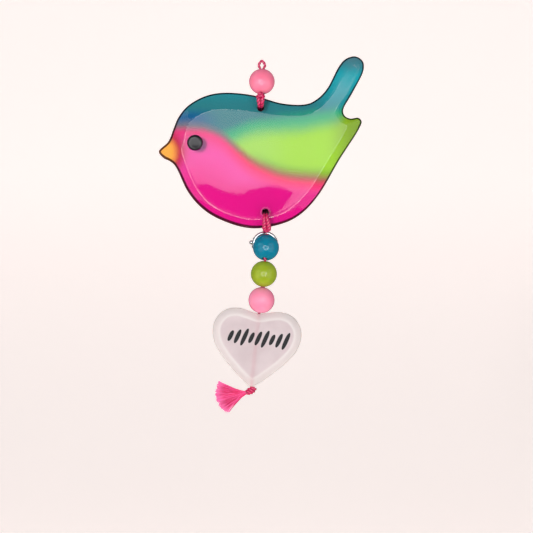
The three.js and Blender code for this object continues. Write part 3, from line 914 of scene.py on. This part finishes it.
def make_ring_light():
    """A flat light round the camera's line of sight, brighter in its outer band and weaker towards the tail.
    It is seen only in reflections."""
    sides = RING_LIGHT_SIDES
    turns = [2 * math.pi * k / sides for k in range(sides)]
    loops = [[opening_edge(angle) for angle in turns]]
    glow = [RING_LIGHT_STRENGTH] * 2 * sides
    dips = [
        math.exp(-((math.degrees(angle) - RING_LIGHT_DIP_AT) / RING_LIGHT_DIP_WIDTH) ** 2) for angle in turns
    ]
    outer = [RING_LIGHT_OUTER - RING_LIGHT_DIP * dip for dip in dips]
    band_edges = [[radius] * sides for radius in RING_LIGHT_BAND_RADII]
    for radii in (*band_edges, [RING_LIGHT_FADE * reach for reach in outer], outer):
        loops.append([polar(RING_LIGHT_CENTRE, reach, angle) for reach, angle in zip(radii, turns)])
    band = [RING_LIGHT_BAND - (RING_LIGHT_BAND - RING_LIGHT_BAND_LOW) * dip for dip in dips]
    glow += band + band + [0.0] * sides
    points = [(x, RING_LIGHT_Y, z) for loop in loops for x, z in loop]
    ring = mesh_object("ring_light", points, ring_faces(len(loops), sides))
    keep_values(ring, "glow", glow)
    material, tree = new_material("ring_light")
    light = add(tree, "Emission", {"Color": WHITE, "Strength": point_value(tree, "glow")}).outputs[0]
    ring.data.materials.append(finish_surface(material, light))
    ring.visible_camera = False
    ring.visible_diffuse = False
    ring.visible_shadow = False


def make_soft_box(name, place, size, power, in_reflections):
    """An area light that either lights surfaces or only shows in their reflections."""
    data = bpy.data.lights.new(name, "AREA")
    data.shape = "RECTANGLE"
    data.size, data.size_y = (side * MM for side in size)
    data.energy = power
    lamp = bpy.data.objects.new(name, data)
    lamp.visible_glossy = in_reflections
    lamp.visible_diffuse = not in_reflections
    lamp.location = Vector(place) * MM
    lamp.rotation_euler = (Vector(LIGHT_TARGET) - Vector(place)).to_track_quat("-Z", "Y").to_euler()
    bpy.context.collection.objects.link(lamp)


def make_world():
    world = bpy.data.worlds.new("studio")
    world.use_nodes = True
    sky = world.node_tree.nodes["Background"]
    fill(sky.inputs["Color"], WORLD_TINT)
    fill(sky.inputs["Strength"], WORLD_STRENGTH)
    bpy.context.scene.world = world


# Pieces
BIRD_DROP = 2.8
BIRD_CORNER = 2.2
TAIL_ROOT = (29.8, 7.4)
TAIL_DIRECTION = (0.37, 0.93)
TAIL_CURVE = 0.004
BIRD_EDGE_ROUND = 0.9
BIRD_BACK_ARRIS = 0.5
# Widths of the edge line: wider as painted shade on edges facing down and left, and on the back of the side
# wall
EDGE_LINE = 0.85
LOW_EDGE_LINE = 1.4
SIDE_LINE = 0.76
SIDE_LINE_Y = 1.2
LINE_TOWARD = (-0.45, -0.89)
CREASE_LINE = 0.55
# The crease is softer where the bevel is narrow, and its painted highlight, a pale line, is clearest at the
# bird's lower side
CREASE_WIDEST = 4.4
CREASE_FALL = 0.55
CREASE_LIMITS = (1.1, 2.3)
CREASE_GAIN = 1.2
CREASE_BASE = 0.15
CREASE_LEAST = 0.1
RELIEF_MARGIN = 4.0
# The front face's waves: slope, lengths (x, z) and start (x, z) of broad ones, and height of fine ones
BROAD_SLOPE = 0.0025
BROAD_LENGTHS = (28.0, 40.0)
BROAD_START = (-10.5, -50.0)
FINE_HEIGHT = 0.0012
LAYER_FRONT = 2.72
LAYER_BACK = 2.86
LAYER_INSET = 0.3
HOLE_CLEARANCE = 0.04
HOLE_WALL = 0.12
HOLE_SIDES = 40


def bird_place(points, at=UPPER_HOLE):
    """From round a place (u, v) of the bird to the part's frame; a fourth number of a row goes along."""
    return [(x + BIRD_X + at[0], y, z + BIRD_Z + at[1], *more) for x, y, z, *more in points]


def face_waves(u, v):
    """The slight unevenness of the front face, which breaks up the edges of its reflections."""
    x, z = u + BIRD_X, v + BIRD_Z
    turn_x, turn_z = (2 * math.pi / length for length in BROAD_LENGTHS)
    broad = math.sin((z - BROAD_START[1]) * turn_z) * math.cos((x - BROAD_START[0]) * turn_x)
    fine = math.sin(0.9 * x + 1.3 * math.sin(0.5 * z)) * math.sin(0.8 * z + 1.1 * math.sin(0.6 * x))
    return broad * BROAD_SLOPE / turn_z + fine * FINE_HEIGHT


def bird_half_thickness(places):
    """Half the glass's thickness in front, thinner towards the tip of the tail."""
    along = (places - np.array(TAIL_ROOT)) @ np.array(TAIL_DIRECTION)
    on_tail = (places[:, 0] > TAIL_ROOT[0] - 3) & (along > 0)
    return BIRD_HALF_THICKNESS - TAIL_CURVE * np.where(on_tail, along, 0) ** 2


def hole_bar(hole, profile, closed=False):
    """A round bar or a closed sleeve through the bird at a hole, from (radius, y) rows."""
    points, faces = lathe(profile, HOLE_SIDES, closed)
    return bird_place([(x, z, -y) for x, y, z in points], hole), faces


def make_bird():
    edge, flat = outline_loops(BIRD_OUTLINE, 10)
    count = len(edge)
    width = np.linalg.norm(edge - flat, axis=1)
    toward = (flat - edge) / width[:, None]
    creases = np.clip(CREASE_WIDEST - CREASE_FALL * width, *CREASE_LIMITS)
    rings = rim_rings(
        edge, flat, bird_half_thickness(flat), BIRD_DROP, BIRD_CORNER, creases, BIRD_EDGE_ROUND, -1
    )
    for step in range(5):
        angle = math.pi / 2 * step / 4
        depth = BIRD_HALF_THICKNESS - BIRD_BACK_ARRIS * (1 - math.sin(angle))
        rings.append((edge + toward * BIRD_BACK_ARRIS * (1 - math.cos(angle)), np.full(count, depth)))
    inward = [(flat + toward * reach, rings[0][1]) for reach in (1.0, 0.5)]
    points, faces = slab(inward + rings, 1.3, face_waves)
    shell = mesh_object("glass_bird", bird_place(points), faces)
    far_y = BIRD_HALF_THICKNESS + 2
    plain = [(HOLE_RADIUS, -far_y), (HOLE_RADIUS, far_y)]
    bore(shell, [hole_bar(hole, plain) for hole in (UPPER_HOLE, LOWER_HOLE)])
    facing_down = np.maximum(0, -toward @ np.array(LINE_TOWARD))
    far, nearest = edge_gaps(shell, edge + (BIRD_X, BIRD_Z))
    line = far / (EDGE_LINE + (LOW_EDGE_LINE - EDGE_LINE) * facing_down[nearest])
    at_back = np.array([vertex.co.y for vertex in shell.data.vertices]) > SIDE_LINE_Y * MM
    keep_values(shell, "line", np.where(at_back, np.maximum(line, SIDE_LINE), line))
    far, nearest = edge_gaps(shell, flat + (BIRD_X, BIRD_Z))
    clear = np.clip(CREASE_GAIN * toward[nearest, 1] + CREASE_BASE, CREASE_LEAST, 1)
    keep_values(shell, "crease", np.exp(-(far / CREASE_LINE) ** 2) * clear)
    shell.visible_shadow = False
    shell.visible_diffuse = False
    dress(shell, bird_glass_material(), "bird_glass", "glass_bird")

    inner = edge + toward * LAYER_INSET
    sheet_rings = [(inner, np.full(count, LAYER_FRONT)), (inner, np.full(count, LAYER_BACK))]
    points, faces = slab(sheet_rings, 2.0)
    layer = mesh_object("bird_colour", bird_place(points), faces)
    wide = HOLE_RADIUS + HOLE_CLEARANCE
    bore(layer, [hole_bar(hole, [(wide, -far_y), (wide, far_y)]) for hole in (UPPER_HOLE, LOWER_HOLE)])
    dress(layer, colour_layer_material(), "bird_glass", "glass_bird")

    # Dark sleeves in the holes, their darkness painted shade for the inside of each hole
    sleeves = []
    outer = wide + HOLE_WALL
    for hole, front_y in ((UPPER_HOLE, -1.8), (LOWER_HOLE, -2.75)):
        wall = [(wide, front_y), (outer, front_y), (outer, LAYER_FRONT), (wide, LAYER_FRONT)]
        sleeves.append((*hole_bar(hole, wall, True), []))
    points, faces, _ = join_parts(sleeves)
    dress(mesh_object("hole_walls", points, faces), hole_shade_material(), "bird_glass", "glass_bird")


def make_eye():
    """A flattened drop of black glass, rounded at its foot, on the bird's front face."""
    shoulder = EYE_RADIUS * EYE_SHOULDER
    profile = [(EYE_RADIUS * 0.9, -0.05), (EYE_RADIUS * 0.98, 0.15)]
    for step in range(EYE_STEPS + 1):
        angle = math.pi / 2 * step / EYE_STEPS
        profile.append((
            EYE_RADIUS - shoulder * (1 - math.cos(angle)), 0.4 + (EYE_RISE - 0.44) * math.sin(angle) ** 0.9,
        ))
    profile.extend([(EYE_RADIUS * 0.4, EYE_RISE - 0.015), (EYE_RADIUS * 0.15, EYE_RISE - 0.003)])
    profile.append((0.02, EYE_RISE))
    points, faces = lathe(profile, 64, False)
    placed = bird_place([(x, -(BIRD_HALF_THICKNESS + z), y) for x, y, z in points], EYE_PLACE)
    dress(mesh_object("eye_dot", placed, faces), eye_material(), "black_glass", "eye_dot")


def bead_mesh(radius, bore_radius):
    """A round bead with a bore along Z, its mouths a little rounded."""
    start = math.asin((bore_radius + MOUTH_FLARE) / radius)
    profile = []
    for step in range(BEAD_STEPS + 1):
        angle = start + step / BEAD_STEPS * (math.pi - 2 * start)
        profile.append((radius * math.sin(angle), -radius * math.cos(angle)))
    mouth = radius * math.cos(start)
    rounded = bore_radius + MOUTH_ROUND
    profile.extend([(rounded, mouth - MOUTH_ROUND), (bore_radius, mouth - MOUTH_DEPTH)])
    profile.extend([(bore_radius, -mouth + MOUTH_DEPTH), (rounded, -mouth + MOUTH_ROUND)])
    return lathe(profile, BEAD_SIDES, True)


def string_place(points):
    """From the string's own frame to the part's; a fourth number of a row goes along."""
    lean_sin, lean_cos = math.sin(STRING_LEAN), math.cos(STRING_LEAN)
    at_x, at_y, at_z = STRING_AT
    return [
        (at_x + x * lean_cos + z * lean_sin, at_y + y, at_z - x * lean_sin + z * lean_cos, *more)
        for x, y, z, *more in points
    ]


def make_beads():
    rose = bead_material("rose_bead_glass", "#fb7f9f", "#fd8ca8")
    pink = bead_material("pink_bead_glass", "#ff8aab", "#ff9bb8")
    teal = bead_material("teal_bead_glass", "#007893", "#008ca8")
    green = bead_material("green_bead_glass", "#8ea41c", "#a0b42c")
    beads = [
        ("top_bead", None, TOP_BEAD_Z, 0.0, rose, "pink_glass"),
        ("teal_bead", 0.0, 0.0, TEAL_TILT, teal, "teal_glass"),
        ("green_bead", GREEN_SHIFT, -GREEN_DROP, 0.0, green, "green_glass"),
        ("pink_bead", PINK_SHIFT, -PINK_DROP, 0.0, pink, "pink_glass"),
    ]
    for name, shift, height, tilt, material, slot in beads:
        on_string = shift is not None
        radius = STRING_BEAD_RADIUS if on_string else BEAD_RADIUS
        bore_radius = STRING_BORE_RADIUS if on_string else TOP_BORE_RADIUS
        points, faces = bead_mesh(radius, bore_radius)
        c, s = math.cos(tilt), math.sin(tilt)
        placed = [(x + (shift or 0), y * c + z * s, z * c - y * s + height) for x, y, z in points]
        bead = mesh_object(name, string_place(placed) if on_string else placed, faces)
        # The bore's points, for the painted shade inside it
        keep_values(bead, "bore", [float(math.hypot(x, y) < bore_radius + 0.1) for x, y, _ in points])
        dress(bead, material, slot, name)


HEART_DROP = 2.1
HEART_CORNER = 1.5
HEART_CREASE = 1.6
HEART_EDGE_ROUND = 1.0


def make_heart():
    left = [(-u, v, -flat_u, flat_v) for u, v, flat_u, flat_v in HEART_HALF_OUTLINE[-2:0:-1]]
    edge, flat = outline_loops(HEART_HALF_OUTLINE + left, 10)
    shape = (HEART_HALF_THICKNESS, HEART_DROP, HEART_CORNER, HEART_CREASE, HEART_EDGE_ROUND)
    rings = rim_rings(edge, flat, *shape, -1) + list(reversed(rim_rings(edge, flat, *shape, 1)))
    points, faces = slab(rings, 1.5)
    heart = mesh_object("glass_heart", string_place([(x, y, z - NOTCH_DROP) for x, y, z in points]), faces)
    rim = np.array(string_place([(u, 0, v - NOTCH_DROP) for u, v in edge]))
    keep_values(heart, "inset", edge_gaps(heart, rim[:, [0, 2]])[0])
    heart.visible_shadow = False
    dress(heart, heart_material(), "frosted_glass", "glass_heart")


def cord_piece(name, parts, material):
    """A cord, with painted shade where it runs inside one of the bird's holes."""
    points, faces, groove = join_parts(parts)
    cord = mesh_object(name, points, faces, 60)
    places = np.asarray(points)
    for hole, front_y in ((UPPER_HOLE, -1.6), (LOWER_HOLE, -2.5)):
        away = np.hypot(places[:, 0] - BIRD_X - hole[0], places[:, 2] - BIRD_Z - hole[1])
        within = (away < HOLE_RADIUS + 0.4) & (places[:, 1] > front_y)
        groove = np.where(within, 1.0, groove)
    keep_values(cord, "groove", groove)
    dress(cord, material, "cord", name)


def twisted(route, radius=STRAND_RADIUS, spacing=0.22, pitch=2.6):
    """A twisted strand along a smooth route; a fourth number at a route's point is its radius there."""
    rows = [tuple(row) if len(row) == 4 else tuple(row) + (radius,) for row in route]
    path = evenly(smooth_route(rows, 10), spacing)
    return sweep_tube(path, radius, CORD_SIDES, CORD_PLIES, CORD_GROOVE, pitch)


def hanging_cord_parts():
    """Two legs hitched through the upper hole, over the edge, up through the bead and into a small loop."""
    side, front, back = STRAND_SIDE, CORD_FRONT, CORD_BACK
    bead_foot, bead_head = TOP_BEAD_Z - BEAD_RADIUS, TOP_BEAD_Z + BEAD_RADIUS
    over = BIRD_Z + UPPER_EDGE_V + STRAND_RADIUS + GAP

    def strand(s):
        x = BIRD_X + s * side
        above = [
            (s * side, 0, bead_head - 1.0), (s * side, 0, TOP_BEAD_Z), (s * side, 0, bead_foot + 0.6),
            (BIRD_X * 0.5 + s * side, 1.2, over + 0.1), (x, 2.7, over), (x, back, over - 1.3),
            (x, back, over - 2.6),
        ]
        at_hole = [
            (s * 0.62, back, 0.8, 0.85), (s * 0.62, back, -0.75, 0.85), (s * 0.55, 2.2, -0.5, 0.62),
            (s * 0.5, -0.2, 0.3, 0.55), (s * 0.55, -1.9, 0.85, 0.6),
            (s * side * 1.15, front + 0.35, 1.8, 0.7), (s * side * 1.3, front, 3.0, LEG_RADIUS),
            (s * side * 1.3, front + 0.1, 4.4, LEG_RADIUS),
        ]
        return above + bird_place(at_hole)

    crown = bird_place([(0, front + 0.2, 5.7, LEG_RADIUS)])
    hitch = strand(-1) + crown + strand(1)[::-1]
    loop = [
        (-side, 0, bead_head - 2.5), (-side, 0, bead_head - 0.2), (-side * 2.1, 0, bead_head + 1.4),
        (0, 0, -STRAND_RADIUS), (side * 2.1, 0, bead_head + 1.4), (side, 0, bead_head - 0.2),
        (side, 0, bead_head - 2.5),
    ]
    bar = bird_place([
        (-1.1, front + 0.9, 4.6, 0.5), (-1.2, front - 0.1, 4.45, 0.6), (-0.5, front - 0.75, 4.6, 0.6),
        (0.5, front - 0.75, 4.6, 0.6), (1.2, front - 0.1, 4.45, 0.6), (1.1, front + 0.9, 4.6, 0.5),
    ])
    return [twisted(hitch), twisted(loop), twisted(bar, pitch=2.2)]


def link_cord_parts():
    """A bight down the front through the lower hole, its ends down the back to the clasp."""
    side, front, back = STRAND_SIDE, CORD_FRONT, CORD_BACK
    ring_y, ring_z = STRING_AT[1] + RING_OFFSET[1], STRING_AT[2] + RING_OFFSET[2]
    wire_y, wire_z = ring_y - 0.8, ring_z + RING_RADIUS - 0.07
    wrap = RING_WIRE_RADIUS + STRAND_RADIUS + 0.06

    def strand(s):
        x = BIRD_X + LOWER_HOLE[0] + s * side
        below = [
            (x, wire_y - 0.3, wire_z - wrap), (x, wire_y + wrap * 0.6, wire_z - wrap * 0.85),
            (x, wire_y + wrap * 1.05, wire_z + 0.2), (x, wire_y + 0.3, wire_z + wrap + 0.35),
        ]
        at_hole = [
            (s * side, back + 0.4, -5.4), (s * side, back, -2.8), (s * 0.62, back, -0.8, 0.85),
            (s * 0.62, back, 0.75, 0.85), (s * 0.55, 2.2, 0.5, 0.62), (s * 0.5, -1.0, -0.45, 0.52),
            (s * 0.5, -2.9, -0.95, 0.52), (s * 0.53, front + 0.15, -1.7, 0.56),
            (0.15 + s * 0.68, front, -3.0, 0.74), (0.32 + s * 0.82, front + 0.3, -4.6, 0.86),
            (0.46 + s * 0.92, front + 1.2, -6.2, 0.94),
        ]
        return below + bird_place(at_hole, LOWER_HOLE)

    foot = bird_place([(0.46 + s * 0.55, front + 1.9, -7.15, 0.72) for s in (-1, 1)], LOWER_HOLE)
    return [twisted(strand(-1) + foot + strand(1)[::-1], pitch=2.3)]


def bead_cord_parts():
    """The doubled cord through the beads and the heart, and its loop on the clasp."""
    top = STRING_BEAD_RADIUS
    end = -(NOTCH_DROP + HEART_LENGTH) - 0.2
    low_y, low_z = RING_OFFSET[1] + 0.8, RING_OFFSET[2] - RING_RADIUS + 0.07
    wrap = RING_WIRE_RADIUS + STRAND_RADIUS + 0.08
    loop = [
        (0, 2.2, top - 1.1), (0, 2.6, top - 0.1), (0, 3.5, top - 0.4), (0, 4.7, 3.6), (0, 5.7, 1.3),
        (0, low_y - wrap - 0.05, low_z + 0.6), (0, low_y - 0.4, low_z - wrap), (0, low_y + wrap, low_z - 0.2),
        (0, low_y + 0.5, low_z + wrap), (0, low_y - 0.1, low_z + wrap + 0.05),
    ]
    straight = [
        (0, 2.2, top - 0.8), (0, 0, 0), (0, -1.45, -3.4, 0.6), (0.1, -1.75, -4.5, 0.55),
        (0.2, -1.05, -top - 0.1, 0.55), (GREEN_SHIFT, -0.05, -top - 1.2, 0.6), (GREEN_SHIFT, 0, -GREEN_DROP),
        (PINK_SHIFT, 0, -PINK_DROP), (0, 0, -NOTCH_DROP, 0.55), (0, 0, end, 0.55),
    ]
    return [twisted(string_place(straight), DOUBLED_RADIUS), twisted(string_place(loop))]


def knot_parts():
    """A few tight turns of cord round the knot's axis, over a core."""
    axis = np.array((math.sin(KNOT_TILT), 0, math.cos(KNOT_TILT)))
    across = np.array((math.cos(KNOT_TILT), 0, -math.sin(KNOT_TILT)))
    forward = np.array((0, -1.0, 0))
    strand, steps, sides = KNOT_STRAND, 72, 16
    coil = []
    for k in range(steps + 1):
        share = k / steps
        angle = 2 * math.pi * KNOT_TURNS * share
        swell = (KNOT_RADIUS - strand) * (0.5 + 0.5 * math.sin(math.pi * share) ** 0.6)
        place = np.array(KNOT_AT) + axis * (0.5 - share) * (KNOT_LENGTH - 2 * strand)
        place = place + axis * 0.35 * math.cos(angle)
        coil.append(place + swell * (math.cos(angle) * across + math.sin(angle) * forward))
    route = evenly(np.array(coil), 0.16)
    points, faces, _ = sweep_tube(route, strand, sides, 3, 0.12, 2.4)
    # Painted shade in the grooves between the turns
    out = np.array(points) - KNOT_AT
    reach = np.linalg.norm(out - np.outer(out @ axis, axis), axis=1)
    crest = np.repeat(reach.reshape(-1, sides).max(1), sides)
    groove = np.clip((crest - reach) / strand, 0, 1)
    core = [np.array(KNOT_AT) + axis * KNOT_LENGTH * h for h in (0.5, 0.2, -0.2, -0.5)]
    return [(points, faces, list(groove)), twisted(core, 0.75)]


def make_tassel():
    """A fan of cut threads that leave the neck in a bunch and spread to ragged ends."""
    draw = random.Random(SEED)
    parts, alongs = [], []
    steps, sides = 10, 5
    middle, half_fan = (TASSEL_FROM + TASSEL_TO) / 2, (TASSEL_TO - TASSEL_FROM) / 2
    locks = [(draw.uniform(-1, 1), draw.uniform(-1, 1)) for _ in range(TASSEL_LOCKS)]
    for _ in range(TASSEL_THREADS):
        lock = draw.choice(locks)
        spread = max(-1.0, min(1.0, 0.9 * draw.uniform(-1, 1) + 0.3 * lock[0]))
        deep = max(-1.0, min(1.0, 0.6 * draw.uniform(-1, 1) + 0.4 * lock[1]))
        length = TASSEL_LENGTH * (1 - 0.04 * spread - 0.06 * spread ** 2) * draw.uniform(0.93, 1.02)
        tone = draw.random()
        wave, phase = draw.uniform(0.06, 0.2), draw.uniform(0, 6.28)
        start = (draw.uniform(-0.6, 0.6), draw.uniform(-0.6, 0.6))
        route = []
        for k in range(steps + 1):
            t = k / steps
            turn = middle + spread * half_fan * (0.8 + 0.2 * t)
            run = length * t
            sway = wave * math.sin(phase + 7 * t) * t
            x = TASSEL_NECK[0] + run * math.cos(turn) - (start[0] + sway) * math.sin(turn)
            z = TASSEL_NECK[2] + run * math.sin(turn) + (start[0] + sway) * math.cos(turn)
            y = start[1] * (1 - t) + deep * TASSEL_HALF_DEPTH * t ** 0.7 + sway * 0.6
            route.append((x, y, z))
        thick = draw.uniform(0.1, 0.15)
        points, faces, _ = sweep_tube(route, thick, sides)
        parts.append((points, faces, [tone] * len(points)))
        alongs.extend(k / steps for k in range(steps + 1) for _ in range(sides))
    points, faces, tones = join_parts(parts)
    tassel = mesh_object("tassel", points, faces, 60)
    keep_values(tassel, "tone", tones)
    keep_values(tassel, "along", alongs)
    dress(tassel, thread_material(), "thread", "tassel")


def make_clasp():
    """A silver spring ring with its thumb knob and two collars."""
    facing = np.array(RING_OFFSET) / np.linalg.norm(RING_OFFSET)
    across = np.array((1.0, 0, 0)) - facing * facing[0]
    across /= np.linalg.norm(across)
    up = np.cross(facing, across)
    centre = np.array(STRING_AT) + RING_OFFSET

    def placed(points):
        return [tuple(centre + x * across + y * up + z * facing) for x, y, z in points]

    def hoop(major, minor):
        return lathe([polar((major, 0.0), minor, 2 * math.pi * k / 16) for k in range(16)], 72, True)

    def ball(radius):
        angles = [math.pi * k / 12 for k in range(13)]
        return lathe([(max(0.01, radius * math.sin(a)), -radius * math.cos(a)) for a in angles], 24, False)

    def collar(angle):
        wire, wide = RING_WIRE_RADIUS, RING_WIRE_RADIUS + 0.16
        points, faces = lathe([(wire, -0.3), (wide, -0.2), (wide, 0.2), (wire, 0.3)], 24, False)
        c, s = math.cos(angle), math.sin(angle)
        rows = [(RING_RADIUS + x, y, z) for x, y, z in points]
        return [(x * c - z * s, x * s + z * c, y) for x, y, z in rows], faces

    def beside_knob(points, reach):
        c, s = math.cos(KNOB_TURN), math.sin(KNOB_TURN)
        return [((reach + z) * c - x * s, (reach + z) * s + x * c, y) for x, y, z in points]

    stem, stem_faces = lathe([(0.35, -0.5), (0.35, 0.5)], 16, False)
    knob, knob_faces = ball(KNOB_RADIUS)
    shapes = [
        hoop(RING_RADIUS, RING_WIRE_RADIUS), (beside_knob(knob, KNOB_REACH), knob_faces),
        (beside_knob(stem, RING_RADIUS + 0.6), stem_faces), *(collar(turn) for turn in COLLAR_TURNS),
    ]
    points, faces, _ = join_parts([(placed(p), f, [0] * len(p)) for p, f in shapes])
    dress(mesh_object("clasp_ring", points, faces, 50), silver_material(), "silver", "clasp_ring")


def make_cords():
    material = cord_material()
    cord_piece("hanging_cord", hanging_cord_parts(), material)
    cord_piece("link_cord", link_cord_parts(), material)
    cord_piece("bead_cord", bead_cord_parts(), material)
    cord_piece("tassel_knot", knot_parts(), material)


bpy.context.scene.view_settings.view_transform = "Standard"
make_camera()
make_sweep()
make_world()
make_ring_light()
for box in SOFT_BOXES:
    make_soft_box(*box)
make_bird()
make_eye()
make_beads()
make_heart()
make_cords()
make_clasp()
make_tassel()
